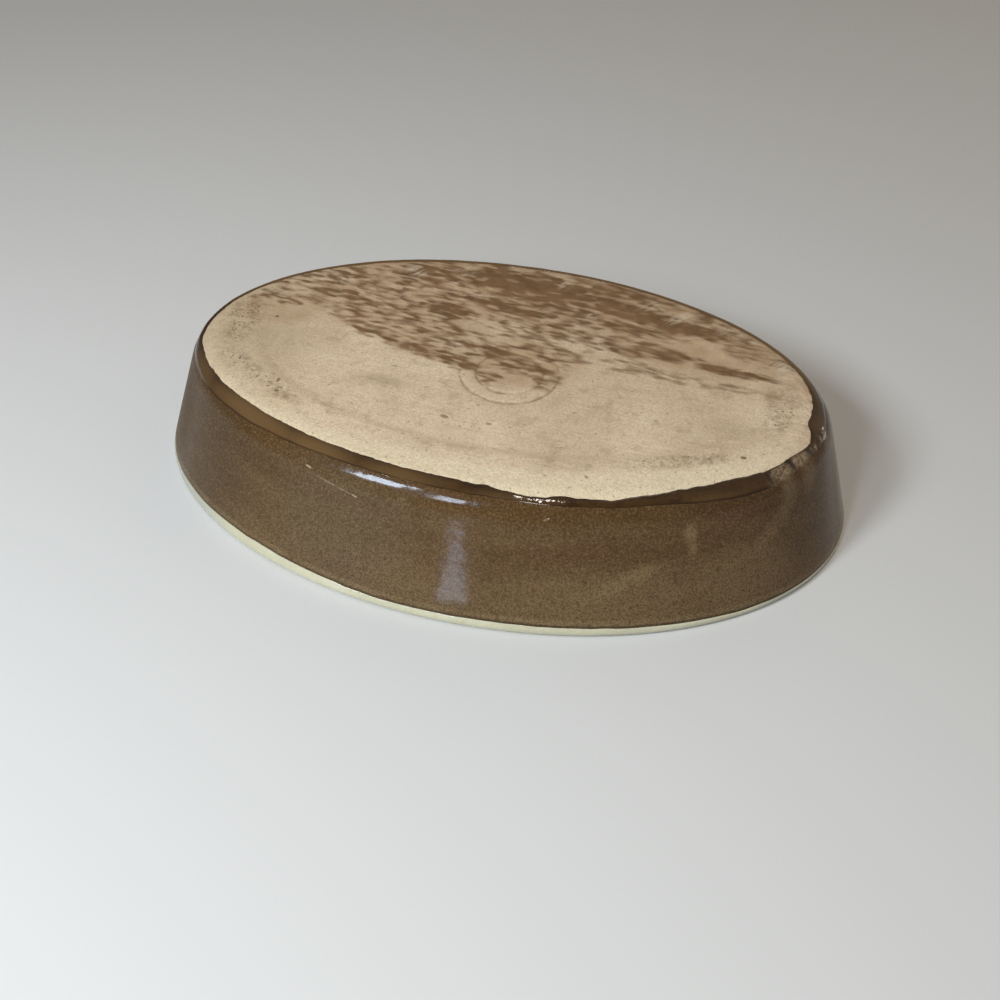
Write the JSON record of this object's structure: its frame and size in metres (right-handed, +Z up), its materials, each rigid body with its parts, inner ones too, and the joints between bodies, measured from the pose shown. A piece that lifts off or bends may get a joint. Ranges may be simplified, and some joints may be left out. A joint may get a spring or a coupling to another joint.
{
  "type": "casserole dish",
  "caption": "Oval open stoneware casserole dish, stored upside down on its rim: bare clay base, brown glazed outside with a dark roll round the foot, cream glazed rim and inside.",
  "frame": {"origin": "centre of the rim's plane, on the surface that the upturned dish rests on", "axes": "+X along the dish's length, +Y across it, +Z up from the rim to the bare base. The dish is stored upside down, as pictured: a half turn about +X puts it the right way up for use."},
  "size_m": [0.2998, 0.1998, 0.054],
  "materials": {
    "bare_clay": "matte unglazed stoneware with brown wash marks",
    "brown_glaze": "gloss, finely mottled",
    "foot_roll_glaze": "thick gloss",
    "cream_glaze": "gloss"
  },
  "bodies": {
    "root": {"stoneware_body": "bare_clay", "brown_wall_glaze": "brown_glaze", "foot_glaze_roll": "foot_roll_glaze", "cream_rim_glaze": "cream_glaze", "cream_lining_glaze": "cream_glaze"}
  },
  "joints": []
}
